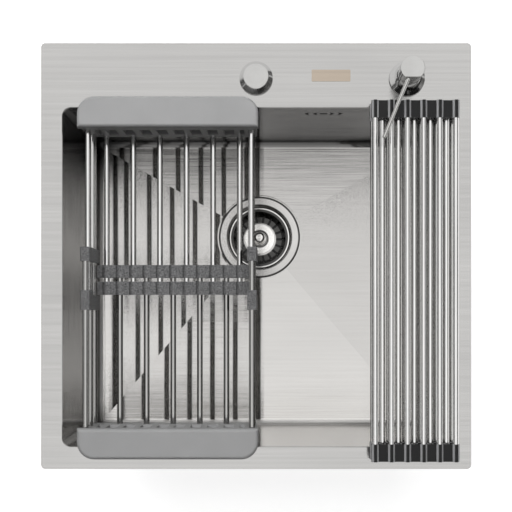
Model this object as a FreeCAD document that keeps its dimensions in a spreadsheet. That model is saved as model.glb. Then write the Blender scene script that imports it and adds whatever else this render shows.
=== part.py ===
import FreeCAD, Part
import math
import os
import re
import Sketcher

# Single-bowl kitchen sink with waste, overflow, soap dispenser, telescopic colander and rolled drainer mat.
# Origin: centre of the deck's outline, on the face that rests on the worktop. X right, Y to the back, Z up.
# All lengths are in millimetres.

doc = FreeCAD.newDocument("KitchenSink")
sheet = doc.addObject("Spreadsheet::Sheet", "Sizes")

# Driving sizes
sizes = {
    # Gaps shared by every piece
    "overrun": 1,
    "near": 0.01,
    "fit_gap": 0.05,
    "slide_gap": 0.4,
    "rest_gap": 0.3,
    # Deck plate
    "deck_width": 500,
    "deck_depth": 495,
    "deck_thick": 3,
    "deck_corner": 5,
    "deck_bevel": 0.5,
    "border_side": 25,
    "border_front": 26,
    "border_rear": 75,
    "opening_corner": 10,
    "worktop_bearing": 10,
    # Bare plate on the rear ledge
    "badge_x": 87,
    "badge_setback": 38,
    "badge_width": 45,
    "badge_depth": 13.5,
    "badge_thick": 0.6,
    "badge_corner": 1,
    # Foam tape under the deck's edge
    "tape_inset": 2,
    "tape_width": 6,
    "tape_thick": 0.8,
    # Bowl
    "bowl_depth": 200,
    "bowl_sheet": 1.2,
    "bowl_bend": 9,
    "weld_lip": 8,
    "floor_fall": 6,
    "drain_setback": 131.7,
    "recess_gap": 2,
    "recess_step": 0.5,
    # Sound-deadening pads
    "damper_thick": 2,
    "damper_floor_inset": 28,
    "damper_drain_gap": 16,
    "damper_wall_top": 60,
    "damper_wall_height": 100,
    "damper_wall_half": 95,
    # Clamps that pull the deck onto the worktop
    "clamp_setback": 12,
    "clamp_width": 24,
    "clamp_sheet": 2,
    "clamp_drop": 26,
    "clamp_foot": 9,
    "clamp_side_reach": 125,
    "clamp_end_reach": 110,
    "worktop_limit": 40,
    "arm_thick": 3,
    "arm_width": 14,
    "arm_tip_gap": 1.5,
    "clamp_screw_radius": 2.5,
    "clamp_screw_rise": 8,
    "clamp_head_radius": 3.5,
    "clamp_head_height": 3,
    # Overflow
    "overflow_x": 80,
    "overflow_drop": 31,
    "mark_width": 6.8,
    "mark_height": 15,
    "mark_notch": 2.2,
    "mark_pitch": 10,
    "dash_pitch": 10,
    "dash_width": 9,
    "dash_height": 5,
    "housing_width": 60,
    "housing_height": 34,
    "housing_depth": 26,
    "housing_sheet": 1.2,
    "spigot_radius": 9,
    "spigot_sheet": 1.2,
    "spigot_length": 20,
    "pipe_wall": 1.8,
    "pipe_bend": 34,
    "pipe_grip": 16,
    "band_width": 8,
    "band_thick": 0.8,
    "band_lug": 6,
    # Strainer flange and cup
    "flange_radius": 57,
    "flange_thick": 1.5,
    "flange_edge": 1,
    "seal_thick": 0.8,
    "slope_radius": 46,
    "slope_depth": 11,
    "slope_run": 3.4,
    "ledge_width": 1.2,
    "cup_sheet": 0.9,
    "cup_depth": 42,
    "cup_mouth": 24,
    "drain_clear": 1,
    "spider_width": 5,
    "boss_radius": 8,
    # Waste body and its fixings
    "gasket_thick": 2.5,
    "gasket_outer": 56,
    "waste_flange": 4,
    "waste_wall": 3,
    "waste_gap": 3.5,
    "waste_depth": 54,
    "outlet_radius": 23.9,
    "outlet_bore": 19.5,
    "outlet_length": 26,
    "port_drop": 27,
    "port_length": 24,
    "bolt_radius": 3,
    "bolt_head": 6,
    "bolt_head_height": 3,
    "nut_radius": 5.5,
    "nut_height": 5,
    # Lift-out basket
    "basket_rim": 4,
    "basket_rim_gap": 0.7,
    "basket_sheet": 0.8,
    "basket_depth": 24,
    "basket_taper": 5.5,
    "basket_slots": 18,
    "slot_width": 3.2,
    "slot_start": 23.5,
    "cap_radius": 21.5,
    "cap_rise": 7.5,
    "cap_sheet": 1,
    "cap_bore": 12,
    "cap_dish": 3.5,
    "stem_radius": 3.6,
    "knob_radius": 7.2,
    "knob_height": 7,
    "knob_drop": 1,
    "stopper_outer": 31,
    "stopper_inner": 17,
    # Tap-hole cover
    "tap_setback": 41.5,
    "tap_hole": 17.5,
    "cover_radius": 19.25,
    "cover_top": 14.2,
    "cover_height": 9.6,
    "cover_rim": 1.6,
    "cover_round": 1.5,
    "rubber_thick": 1,
    "stud_radius": 3,
    "stud_length": 34,
    "bridge_radius": 24,
    "bridge_thick": 2.5,
    "wing_hub": 7,
    "wing_height": 7,
    "wing_reach": 17,
    "wing_thick": 2.4,
    # Soap dispenser
    "soap_inset": 75.1,
    "soap_setback": 41.9,
    "soap_base": 20.5,
    "soap_foot": 2,
    "bell_waist": 15.2,
    "bell_waist_rise": 9,
    "bell_neck": 13.9,
    "bell_height": 15,
    "bell_round": 9,
    "collar_radius": 12.4,
    "collar_height": 10.5,
    "shank_radius": 13,
    "shank_wall": 2,
    "shank_rise": 10,
    "shank_length": 40,
    "shank_clear": 1.5,
    "soap_nut_radius": 20,
    "soap_nut_height": 8,
    "pump_radius": 9,
    "pump_wall": 2,
    "pump_flange": 1.5,
    "pump_length": 52,
    "pump_seat": 3,
    "valve_hole": 1.5,
    "valve_ball": 2.4,
    "barb_radius": 3,
    "barb_length": 9,
    "dip_wall": 1,
    "dip_foot_gap": 4,
    "stem_bore": 1.6,
    "rod_radius": 3.5,
    "piston_height": 5,
    "piston_level": 16,
    "spring_wire": 0.5,
    "spring_radius": 5.2,
    "spring_turns": 7,
    "press_travel": 10,
    "press_margin": 0.4,
    "head_radius": 13.5,
    "head_wall": 0.7,
    "head_cap": 8.2,
    "head_round": 0.8,
    "facet_reach": 10,
    "facet_drop": 6,
    "rod_grip": 6,
    "spout_radius": 2.25,
    "spout_bore": 1.5,
    "spout_rise": 4,
    "spout_reach": 83,
    "spout_root": 6,
    "spout_aim": 22.5,
    "bottle_radius": 28,
    "bottle_wall": 1.5,
    "bottle_neck": 22,
    "bottle_shoulder": 10,
    "bottle_length": 136,
    "bottle_gap": 4,
    # Telescopic colander
    "colander_gap": 18.3,
    "grip_half_width": 104.7,
    "grip_height": 9.2,
    "grip_corner": 20,
    "grip_round": 4,
    "grip_wall": 2.4,
    "rear_grip_overhang": 24.9,
    "rear_grip_bearing": 11.2,
    "front_grip_overhang": 22,
    "front_grip_bearing": 13.7,
    "end_wall_inset": 1.4,
    "end_wall_thick": 6,
    "end_wall_corner": 6,
    "rear_wall_drop": 51,
    "front_wall_drop": 57,
    "vent_pitch": 19.8,
    "vent_width": 12.2,
    "vent_top": 13,
    "vent_height": 25,
    "end_vent_offset": 84.8,
    "end_vent_width": 5.6,
    "tube_radius": 3.5,
    "tube_bore": 1.95,
    "socket_depth": 5,
    "socket_floor": 2,
    "rod_pitch": 32.4,
    "rod_drop": 48,
    "rear_rail_offset": 96,
    "rear_rail_top": 12.5,
    "rear_rail_mid": 36.5,
    "rear_rail_low": 44.2,
    "front_rail_offset": 97,
    "front_rail_top": 4,
    "front_rail_mid": 28,
    "front_rail_low": 52.3,
    "comb_half_width": 91.5,
    "comb_body": 4.6,
    "comb_bump": 6.4,
    "rear_comb_front": 43.9,
    "rear_comb_depth": 15.9,
    "front_comb_front": 23.4,
    "front_comb_depth": 15.4,
    "clip_thick": 11,
    "clip_rise": 0.7,
    "clip_hood": 22,
    "clip_drop": 57.3,
    "clip_corner": 1.5,
    "clip_groove": 1.2,
    "clip_groove_depth": 0.7,
    "clip_groove_place": 9,
    "rear_clip_front": 62.4,
    "rear_clip_depth": 17.6,
    "rear_clip_lip": 5.1,
    "front_clip_front": 5.5,
    "front_clip_depth": 16.3,
    # Rolled drainer mat
    "mat_overhang": 89.5,
    "mat_pitch": 18.3,
    "mat_row": 8.9,
    "mat_rubber": 0.8,
    "mat_web": 1.6,
    "mat_front_gap": 12.5,
    "mat_bearing": 2.5,
    "mat_strip": 20,
}

# Sizes that follow from the driving ones
followers = {
    "opening_width": "deck_width - 2 * border_side",
    "opening_depth": "deck_depth - border_front - border_rear",
    "bowl_rear": "deck_depth / 2 - border_rear",
    "bowl_front": "border_front - deck_depth / 2",
    "floor_level": "deck_thick - bowl_depth",
    "drain_y": "bowl_rear - drain_setback",
    "drain_hole": "slope_radius + drain_clear",
    "recess_radius": "flange_radius + recess_gap",
    "recess_level": "floor_level - floor_fall - recess_step",
    "under_bowl": "recess_level - bowl_sheet",
    "flange_level": "recess_level + seal_thick + flange_thick",
    "ledge_radius": "slope_radius - slope_run",
    "cup_radius": "ledge_radius - ledge_width",
    "cup_floor": "flange_level - cup_depth",
    "gasket_level": "under_bowl - gasket_thick",
    "waste_radius": "cup_radius + cup_sheet + waste_gap",
    "waste_floor": "gasket_level - waste_depth",
    "port_level": "gasket_level - port_drop",
    "pipe_bore": "spigot_radius + fit_gap",
    "pipe_radius": "pipe_bore + pipe_wall",
    "spigot_y": "bowl_rear + bowl_sheet + housing_depth / 2",
    "overflow_level": "deck_thick - overflow_drop",
    "spigot_foot": "overflow_level - housing_height / 2 - spigot_length",
    "pipe_top": "spigot_foot + pipe_grip",
    "pipe_span": "sqrt(overflow_x ^ 2 + (spigot_y - drain_y) ^ 2)",
    "port_end": "waste_radius + waste_wall + port_length",
    "basket_radius": "ledge_radius - basket_rim_gap",
    "basket_floor": "basket_depth + slope_depth",
    "tap_y": "deck_depth / 2 - tap_setback",
    "soap_x": "deck_width / 2 - soap_inset",
    "soap_y": "deck_depth / 2 - soap_setback",
    "soap_hole": "shank_radius + shank_clear",
    "shoulder": "rubber_thick + bell_height",
    "collar_top": "shoulder + collar_height",
    "shank_top": "rubber_thick + shank_rise",
    "shank_foot": "shank_top - deck_thick - shank_length - rubber_thick - shank_rise",
    "pump_foot": "shank_top - pump_length",
    "skirt_level": "shoulder + press_travel + press_margin",
    "ceiling_level": "collar_top + press_travel + press_margin",
    "head_top": "ceiling_level + head_cap",
    "spout_level": "ceiling_level + spout_rise",
    "bottle_top": "-deck_thick - soap_nut_height - bottle_gap",
    "bottle_foot": "bottle_top - bottle_neck - bottle_shoulder - bottle_length",
    "colander_x": "colander_gap + grip_half_width - opening_width / 2",
    "rear_grip_inner": "bowl_rear - rear_grip_overhang",
    "rear_grip_outer": "bowl_rear + rear_grip_bearing",
    "front_grip_inner": "-bowl_front - front_grip_overhang",
    "front_grip_outer": "-bowl_front + front_grip_bearing",
    "rear_wall_face": "rear_grip_inner + end_wall_inset",
    "front_wall_face": "front_grip_inner + end_wall_inset",
    "clip_outer": "comb_half_width + clip_thick",
    "mat_left": "opening_width / 2 - mat_overhang",
    "mat_front_end": "deck_depth / 2 - mat_front_gap",
    "mat_rear_end": "bowl_rear + mat_bearing",
    "mat_ring": "tube_radius + mat_rubber",
    "mat_low_row": "deck_thick + rest_gap + mat_ring",
}

known = {**sizes, **followers}
for line, (alias, entry) in enumerate(known.items(), start=1):
    sheet.set(f"A{line}", alias)
    sheet.set(f"B{line}", f"={entry}" if alias in followers else str(entry))
    sheet.setAlias(f"B{line}", alias)
doc.recompute()

scratch_cell = "D1"
up = FreeCAD.Vector(0, 0, 1)
across = FreeCAD.Vector(1, 0, 0)
nodes = []


# Helpers for sizes and places

def spelled(text):
    """Point each size's name at the sheet."""
    return re.sub(r"[a-z][a-z0-9_]*", lambda word: f"Sizes.{word[0]}" if word[0] in known else word[0], text)


def number(text):
    """The value, in millimetres, of a sum of named sizes."""
    sheet.set(scratch_cell, f"={text}")
    sheet.recompute()
    sheet.purgeTouched()
    return float(sheet.get(scratch_cell))


def bind(part, **links):
    for path, text in links.items():
        part.setExpression(path, spelled(text))
    return part


def place(part, x="0", y="0", z="0"):
    for axis, text in zip("xyz", (x, y, z)):
        part.setExpression(f"Placement.Base.{axis}", spelled(text))
    return part


def turn(part, degrees, axis=up):
    part.Placement.Rotation = FreeCAD.Rotation(axis, degrees)
    return part


def node(part, label):
    """Name a finished sub-part, which is then written to its own file."""
    part.Label = label
    nodes.append(part)
    return part


# Helpers for solids made from primitives

def block(name, x, y, z):
    """A box between two limits on each axis."""
    part = doc.addObject("Part::Box", name)
    bind(part, Length=f"{x[1]} - ({x[0]})", Width=f"{y[1]} - ({y[0]})", Height=f"{z[1]} - ({z[0]})")
    return place(part, x[0], y[0], z[0])


def drum(name, radius, low, high, x="0", y="0"):
    """An upright cylinder."""
    part = doc.addObject("Part::Cylinder", name)
    bind(part, Radius=radius, Height=f"{high} - ({low})")
    return place(part, x, y, low)


def lying_drum(name, radius, front, rear, x, z):
    """A cylinder that lies along Y."""
    part = turn(doc.addObject("Part::Cylinder", name), -90, across)
    bind(part, Radius=radius, Height=f"{rear} - ({front})")
    return place(part, x, front, z)


def joined(name, parts):
    whole = doc.addObject("Part::MultiFuse", name)
    whole.Shapes = parts
    return whole


def cut(name, base, tool):
    rest = doc.addObject("Part::Cut", name)
    rest.Base = base
    rest.Tool = tool
    return rest


def shared(name, parts):
    overlap = doc.addObject("Part::MultiCommon", name)
    overlap.Shapes = parts
    return overlap


def group(name, parts):
    pile = doc.addObject("Part::Compound", name)
    pile.Links = parts
    return pile


# Helpers for sketched bodies

def new_body(name):
    return doc.addObject("PartDesign::Body", name)


def sketch_on(body, role, lift="0"):
    drawing = body.newObject("Sketcher::SketchObject", f"{body.Name}_sketch")
    plane = next(item for item in body.Origin.OriginFeatures if item.Role == role)
    drawing.AttachmentSupport = (plane, [""])
    drawing.MapMode = "FlatFace"
    drawing.setExpression("AttachmentOffset.Base.z", spelled(lift))
    return drawing


def pin_point(drawing, index, spot, right, above):
    """Hold one point of a sketch at two named distances from its origin."""
    for kind, text, axis in (("DistanceX", right, -2), ("DistanceY", above, -1)):
        if text == "0":
            drawing.addConstraint(Sketcher.Constraint("PointOnObject", index, spot, axis))
        else:
            rule = drawing.addConstraint(Sketcher.Constraint(kind, index, spot, 1.0))
            drawing.setExpression(f"Constraints[{rule}]", spelled(text))


def polygon(drawing, corners):
    """A closed outline; its lines start on a unit circle and are pulled to the named corners."""
    count = len(corners)
    first = drawing.GeometryCount
    angles = [2 * math.pi * step / count for step in range(count)]
    ring = [FreeCAD.Vector(math.cos(angle), math.sin(angle), 0) for angle in angles]
    drawing.addGeometry([Part.LineSegment(ring[k], ring[(k + 1) % count]) for k in range(count)], False)
    drawing.addConstraint(
        [Sketcher.Constraint("Coincident", first + k, 2, first + (k + 1) % count, 1) for k in range(count)]
    )
    for step, (right, above) in enumerate(corners):
        pin_point(drawing, first + step, 1, right, above)


def rectangle(x, y):
    return [(x[0], y[0]), (x[1], y[0]), (x[1], y[1]), (x[0], y[1])]


def circle(drawing, right, above, radius):
    index = drawing.addGeometry(Part.Circle(FreeCAD.Vector(), up, 1), False)
    pin_point(drawing, index, 3, right, above)
    rule = drawing.addConstraint(Sketcher.Constraint("Radius", index, 1.0))
    drawing.setExpression(f"Constraints[{rule}]", spelled(radius))


def pad(body, drawing, length, backwards=False):
    raised = body.newObject("PartDesign::Pad", f"{body.Name}_pad")
    raised.Profile = drawing
    raised.Reversed = backwards
    return bind(raised, Length=length)


def pocket(body, drawing):
    """Cut a sketch right through the body, both ways from its plane."""
    hole = body.newObject("PartDesign::Pocket", f"{body.Name}_pocket")
    hole.Profile = drawing
    hole.Type = "ThroughAll"
    hole.Midplane = True
    return hole


def chosen(feature, wanted):
    doc.recompute()
    return [f"Edge{index}" for index, edge in enumerate(feature.Shape.Edges, start=1) if wanted(edge)]


def round_edges(body, feature, wanted, radius):
    fillet = body.newObject("PartDesign::Fillet", f"{body.Name}_fillet")
    fillet.Base = (feature, chosen(feature, wanted))
    return bind(fillet, Radius=radius)


def bevel_edges(body, feature, wanted, size):
    chamfer = body.newObject("PartDesign::Chamfer", f"{body.Name}_chamfer")
    chamfer.Base = (feature, chosen(feature, wanted))
    return bind(chamfer, Size=size)


def upright(edge):
    return isinstance(edge.Curve, Part.Line) and abs(edge.tangentAt(edge.FirstParameter).z) > math.cos(1)


def at_level(level):
    return lambda edge: all(abs(point.Z - level) < number("near") for point in edge.Vertexes)


def turned(name, outline, rounds=()):
    """A solid of revolution about Z from corners given as radius and height."""
    body = new_body(name)
    drawing = sketch_on(body, "XZ_Plane")
    polygon(drawing, outline)
    last = body.newObject("PartDesign::Revolution", f"{name}_turning")
    last.Profile = drawing
    last.ReferenceAxis = (drawing, ["V_Axis"])
    for corner, radius in rounds:
        reach, height = (number(text) for text in outline[corner])
        near = number("near")

        def on_corner(edge):
            ring = edge.Curve
            return isinstance(ring, Part.Circle) and abs(ring.Radius - reach) < near and abs(
                ring.Center.z - height) < near
        last = round_edges(body, last, on_corner, radius)
    return body


def plate(name, x, y, low, thick, corner):
    """A flat plate with rounded corners."""
    body = new_body(name)
    drawing = sketch_on(body, "XY_Plane", low)
    polygon(drawing, rectangle(x, y))
    raised = pad(body, drawing, thick)
    round_edges(body, raised, upright, corner)
    return body


# Sink shell

def deck_plate():
    body = new_body("deck_plate")
    outline = sketch_on(body, "XY_Plane")
    polygon(outline, rectangle(("-deck_width / 2", "deck_width / 2"), ("-deck_depth / 2", "deck_depth / 2")))
    sheet_metal = round_edges(body, pad(body, outline, "deck_thick"), upright, "deck_corner")
    opening = sketch_on(body, "XY_Plane")
    polygon(opening, rectangle(("-opening_width / 2", "opening_width / 2"), ("bowl_front", "bowl_rear")))
    framed = pocket(body, opening)
    sheet_metal.Visibility = False
    inside = number("opening_width / 2 + near")

    def opening_corner(edge):
        return upright(edge) and abs(edge.Vertexes[0].X) < inside

    framed = round_edges(body, framed, opening_corner, "opening_corner")
    framed = bevel_edges(body, framed, at_level(number("deck_thick")), "deck_bevel")
    holes = sketch_on(body, "XY_Plane")
    circle(holes, "0", "tap_y", "tap_hole")
    circle(holes, "soap_x", "soap_y", "soap_hole")
    pocket(body, holes)
    node(body, "deck_plate")


def bowl_form(name, grow, top):
    """The bowl's inside, grown outwards: a rounded box, a floor of four falls and the drain's recess."""
    body = new_body(f"{name}_box")
    drawing = sketch_on(body, "XY_Plane", top)
    half = f"opening_width / 2 + {grow}"
    polygon(drawing, rectangle((f"-({half})", half), (f"bowl_front - ({grow})", f"bowl_rear + {grow}")))
    raised = pad(body, drawing, f"{top} - floor_level + {grow}", backwards=True)
    cornered = round_edges(body, raised, upright, f"opening_corner + {grow}")
    bottom = number(f"floor_level - ({grow})")
    round_edges(body, cornered, at_level(bottom), f"bowl_bend + {grow}")
    recess_foot = f"recess_level - ({grow})"
    recess = drum(f"{name}_recess", f"recess_radius + {grow}", recess_foot, "floor_level", "0", "drain_y")
    return joined(name, [body, floor_falls(f"{name}_falls", grow), recess])


def floor_falls(name, grow):
    """The four flat facets that fall from the floor's corners to the drain."""
    side = number("opening_width / 2 - opening_corner")
    front = number("bowl_front + opening_corner")
    rear = number("bowl_rear - opening_corner")
    level = number("floor_level")
    corners = ((-side, front), (side, front), (side, rear), (-side, rear))
    rim = [FreeCAD.Vector(x, y, level) for x, y in corners]
    low = FreeCAD.Vector(0, number("drain_y"), number("floor_level - floor_fall"))
    facets = [Part.Face(Part.makePolygon(rim + rim[:1]))]
    facets += [Part.Face(Part.makePolygon([rim[k - 1], rim[k], low, rim[k - 1]])) for k in range(len(rim))]
    falls = doc.addObject("Part::Feature", name)
    falls.Shape = Part.makeSolid(Part.makeShell(facets))
    return place(falls, z=f"-({grow})")


def overflow_marks():
    """Two wedges, a dash and two wedges cut through the rear wall."""
    body = new_body("overflow_marks")
    drawing = sketch_on(body, "XZ_Plane", "-bowl_rear - bowl_sheet - overrun")
    for side in (1, -1):
        for step in (0, 1):
            middle = f"overflow_x + {side} * (dash_pitch + {step} * mark_pitch)"
            tip = f"{middle} + {side} * mark_width / 2"
            back = f"{middle} - {side} * mark_width / 2"
            polygon(drawing, [
                (tip, "overflow_level"),
                (back, "overflow_level + mark_height / 2"),
                (f"{back} + {side} * mark_notch", "overflow_level"),
                (back, "overflow_level - mark_height / 2"),
            ])
    dash = ("overflow_x - dash_width / 2", "overflow_x + dash_width / 2")
    dash_z = ("overflow_level - dash_height / 2", "overflow_level + dash_height / 2")
    polygon(drawing, rectangle(dash, dash_z))
    pad(body, drawing, "bowl_sheet + 2 * overrun")
    return body


def bowl(outside, inside):
    half = "opening_width / 2 + bowl_sheet + weld_lip"
    y = ("bowl_front - bowl_sheet - weld_lip", "bowl_rear + bowl_sheet + weld_lip")
    corner = "opening_corner + weld_lip"
    lip = plate("weld_lip_plate", (f"-({half})", half), y, "-bowl_sheet", "bowl_sheet", corner)
    hole = drum("drain_cutter", "drain_hole", "under_bowl - overrun", "floor_level", "0", "drain_y")
    solid = joined("bowl_outer", [outside, lip])
    node(cut("bowl_shell", solid, joined("bowl_cutters", [inside, hole, overflow_marks()])), "bowl")


def badge_plate():
    x = ("badge_x - badge_width / 2", "badge_x + badge_width / 2")
    middle = "deck_depth / 2 - badge_setback"
    y = (f"{middle} - badge_depth / 2", f"{middle} + badge_depth / 2")
    node(plate("badge_plate", x, y, "deck_thick", "badge_thick", "badge_corner"), "badge_plate")


def edge_tape():
    def ring(name, inset, low, thick):
        half = f"deck_width / 2 - ({inset})"
        depth = f"deck_depth / 2 - ({inset})"
        return plate(name, (f"-({half})", half), (f"-({depth})", depth), low, thick, "deck_corner")
    outer = ring("tape_outer", "tape_inset", "-tape_thick", "tape_thick")
    inner = ring("tape_inner", "tape_inset + tape_width", "-tape_thick - overrun", "tape_thick + 2 * overrun")
    node(cut("tape_ring", outer, inner), "edge_tape")


def sound_dampers(outside):
    """Pads glued to the floor and walls, cut from a skin that follows the bowl."""
    skin = bowl_form("damper_skin", "(bowl_sheet + damper_thick)", "0")
    far = "opening_width / 2 + bowl_sheet + damper_thick + overrun"
    front_far = "bowl_front - bowl_sheet - damper_thick - overrun"
    rear_far = "bowl_rear + bowl_sheet + damper_thick + overrun"
    wall = ("deck_thick - damper_wall_top - damper_wall_height", "deck_thick - damper_wall_top")
    under = ("recess_level - bowl_sheet - damper_thick - overrun", "floor_level")
    floor_y = ("bowl_front + damper_floor_inset", "bowl_rear - damper_floor_inset")
    middle = "(bowl_front + bowl_rear) / 2"
    side_y = (f"{middle} - damper_wall_half", f"{middle} + damper_wall_half")
    edge = "opening_width / 2 - damper_floor_inset"
    keep = "recess_radius + damper_drain_gap"
    half = "opening_width / 2"
    prisms = [
        block("damper_floor_left", (f"-({edge})", f"-({keep})"), floor_y, under),
        block("damper_floor_right", (keep, edge), floor_y, under),
        block("damper_left", (f"-({far})", f"-({half})"), side_y, wall),
        block("damper_right", (half, far), side_y, wall),
        block("damper_front", ("-damper_wall_half", "damper_wall_half"), (front_far, "bowl_front"), wall),
        block("damper_rear", ("-2 * damper_wall_half", "0"), ("bowl_rear", rear_far), wall),
    ]
    patches = shared("damper_patches", [group("damper_prisms", prisms), skin])
    node(cut("damper_pads", patches, outside), "sound_dampers")


# Clamps under the deck, each drawn at the deck's right edge with X outwards and then turned to its side

def clamp_sites():
    sites = []
    for side, turned_by in ((1, 0), (-1, 180)):
        for end in (1, -1):
            sites.append((f"{side} * deck_width / 2", f"{end} * clamp_side_reach", turned_by))
            sites.append((f"{end} * clamp_end_reach", f"{side} * deck_depth / 2", turned_by + 90))
    return sites


def clamp_bracket(name):
    y = ("-clamp_width / 2", "clamp_width / 2")
    face = "-clamp_setback"
    web = block(f"{name}_web", (f"{face} - clamp_sheet", face), y, ("-clamp_drop", "0"))
    foot_z = ("-clamp_drop", "-clamp_drop + clamp_sheet")
    foot = block(f"{name}_foot", (f"{face} - clamp_foot", face), y, foot_z)
    screw_x = f"{face} - clamp_sheet - (clamp_foot - clamp_sheet) / 2"
    bore = "clamp_screw_radius + fit_gap"
    hole = drum(f"{name}_hole", bore, f"{foot_z[0]} - overrun", f"{foot_z[1]} + overrun", screw_x)
    return cut(name, joined(f"{name}_sheet", [web, foot]), hole)


def clamp_arm(name):
    x = ("-clamp_setback - clamp_foot", "-arm_tip_gap")
    z = ("-worktop_limit - arm_thick", "-worktop_limit")
    bar = block(f"{name}_bar", x, ("-arm_width / 2", "arm_width / 2"), z)
    screw_x = "-clamp_setback - clamp_sheet - (clamp_foot - clamp_sheet) / 2"
    bore = "clamp_screw_radius + fit_gap"
    hole = drum(f"{name}_hole", bore, f"{z[0]} - overrun", f"{z[1]} + overrun", screw_x)
    return cut(name, bar, hole)


def clamp_screw(name):
    screw_x = "-clamp_setback - clamp_sheet - (clamp_foot - clamp_sheet) / 2"
    foot = "-worktop_limit - arm_thick"
    shaft = drum(f"{name}_shaft", "clamp_screw_radius", foot, "-clamp_drop + clamp_screw_rise", screw_x)
    head = drum(f"{name}_head", "clamp_head_radius", f"{foot} - clamp_head_height", foot, screw_x)
    return joined(name, [shaft, head])


def clamps():
    kinds = {"clamp_brackets": clamp_bracket, "clamp_arms": clamp_arm, "clamp_screws": clamp_screw}
    for label, make in kinds.items():
        copies = []
        for index, (x, y, turned_by) in enumerate(clamp_sites()):
            copies.append(place(turn(make(f"{label}_{index}"), turned_by), x, y))
        node(group(f"{label}_group", copies), label)


# Overflow

def overflow_housing():
    wall = "bowl_rear + bowl_sheet"
    x = ("overflow_x - housing_width / 2", "overflow_x + housing_width / 2")
    z = ("overflow_level - housing_height / 2", "overflow_level + housing_height / 2")
    shell = block("housing_shell", x, (wall, f"{wall} + housing_depth"), z)
    room = block(
        "housing_room",
        (f"{x[0]} + housing_sheet", f"{x[1]} - housing_sheet"),
        (f"{wall} - overrun", f"{wall} + housing_depth - housing_sheet"),
        (f"{z[0]} + housing_sheet", f"{z[1]} - housing_sheet"),
    )
    spigot = drum("housing_spigot", "spigot_radius", "spigot_foot", z[0], "overflow_x", "spigot_y")
    bore_z = ("spigot_foot - overrun", f"{z[0]} + housing_sheet + overrun")
    bore = drum("housing_bore", "spigot_radius - spigot_sheet", *bore_z, "overflow_x", "spigot_y")
    solid = joined("housing_outer", [shell, spigot])
    node(cut("overflow_housing", solid, joined("housing_inner", [room, bore])), "overflow_housing")


def overflow_pipe():
    """A rigid pipe from the housing's spigot down and round to the waste body's port."""
    def legs(name, radius, extra):
        high = drum(f"{name}_high", radius, "port_level + pipe_bend", f"pipe_top + {extra}", "pipe_span")
        bend = turn(doc.addObject("Part::Torus", f"{name}_bend"), 90, across)
        bind(bend, Radius1="pipe_bend", Radius2=radius)
        bend.Angle3 = 90
        bend.Placement.Rotation = FreeCAD.Rotation(across, 90) * FreeCAD.Rotation(up, -90)
        place(bend, "pipe_span - pipe_bend", "0", "port_level + pipe_bend")
        low = doc.addObject("Part::Cylinder", f"{name}_low")
        turn(low, 90, FreeCAD.Vector(0, 1, 0))
        bind(low, Radius=radius, Height=f"pipe_span - pipe_bend - (port_end - pipe_grip) + {extra}")
        place(low, f"port_end - pipe_grip - {extra}", "0", "port_level")
        return joined(name, [high, bend, low])
    outer = legs("pipe_outer", "pipe_radius", "0")
    pipe = cut("overflow_pipe", outer, legs("pipe_inner", "pipe_bore", "overrun"))
    place(turn(pipe, 1), "0", "drain_y")
    bind(pipe, **{"Placement.Rotation.Angle": "atan2(spigot_y - drain_y; overflow_x)"})
    node(pipe, "overflow_pipe")


def pipe_bands():
    """A band clip round each end of the overflow pipe."""
    def band(name):
        bore = "(pipe_radius + fit_gap)"
        outer = drum(f"{name}_outer", f"{bore} + band_thick", "0", "band_width")
        lug_y = ("-band_thick", "band_thick")
        lug = block(f"{name}_lug", (bore, f"{bore} + band_lug"), lug_y, ("0", "band_width"))
        hole = drum(f"{name}_hole", bore, "-overrun", "band_width + overrun")
        return cut(name, joined(f"{name}_ring", [outer, lug]), hole)
    top = place(band("band_top"), "overflow_x", "spigot_y", "pipe_top - band_width - band_thick")
    low = band("band_low")
    low.Placement.Rotation = FreeCAD.Rotation(FreeCAD.Vector(0, 1, 0), 90)
    place(low, "port_end - pipe_grip + band_thick", "0", "port_level")
    turned_low = group("band_low_turned", [low])
    place(turn(turned_low, 1), "0", "drain_y")
    bind(turned_low, **{"Placement.Rotation.Angle": "atan2(spigot_y - drain_y; overflow_x)"})
    node(group("pipe_bands", [top, turned_low]), "pipe_bands")


# Waste

def at_drain(part, label, level="flange_level"):
    node(place(part, "0", "drain_y", level), label)


def strainer_cup():
    """Flange, slope, ledge and cup in one pressed sheet, with a spider across the mouth."""
    outline = [
        ("flange_radius", "0"),
        ("slope_radius", "0"),
        ("ledge_radius", "-slope_depth"),
        ("cup_radius", "-slope_depth"),
        ("cup_radius", "-cup_depth"),
        ("cup_mouth", "-cup_depth"),
        ("cup_mouth", "-cup_depth - cup_sheet"),
        ("cup_radius + cup_sheet", "-cup_depth - cup_sheet"),
        ("cup_radius + cup_sheet", "-slope_depth - cup_sheet"),
        ("ledge_radius + cup_sheet", "-slope_depth - cup_sheet"),
        ("slope_radius + cup_sheet / 2", "-flange_thick"),
        ("flange_radius", "-flange_thick"),
    ]
    shell = turned("strainer_shell", outline, rounds=((0, "flange_edge"),))
    z = ("-cup_depth - cup_sheet", "-cup_depth")
    reach = "cup_mouth + cup_sheet"
    arm = ("-spider_width / 2", "spider_width / 2")
    arms = [
        block("spider_x", (f"-({reach})", reach), arm, z),
        block("spider_y", arm, (f"-({reach})", reach), z),
        drum("spider_boss", "boss_radius", *z),
    ]
    hole = drum("spider_hole", "bolt_radius + fit_gap", f"{z[0]} - overrun", f"{z[1]} + overrun")
    at_drain(cut("strainer_pressing", joined("strainer_sheet", [shell, *arms]), hole), "strainer_cup")


def flat_ring(name, inner, outer, low, high):
    return turned(name, [(inner, low), (outer, low), (outer, high), (inner, high)])


def waste_seals():
    seal = flat_ring("seal_ring", "drain_hole", "flange_radius - flange_edge", "0", "seal_thick")
    at_drain(seal, "flange_seal", "recess_level")
    gasket = flat_ring("gasket_ring", "drain_hole", "gasket_outer", "-gasket_thick", "0")
    at_drain(gasket, "waste_gasket", "under_bowl")


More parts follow.
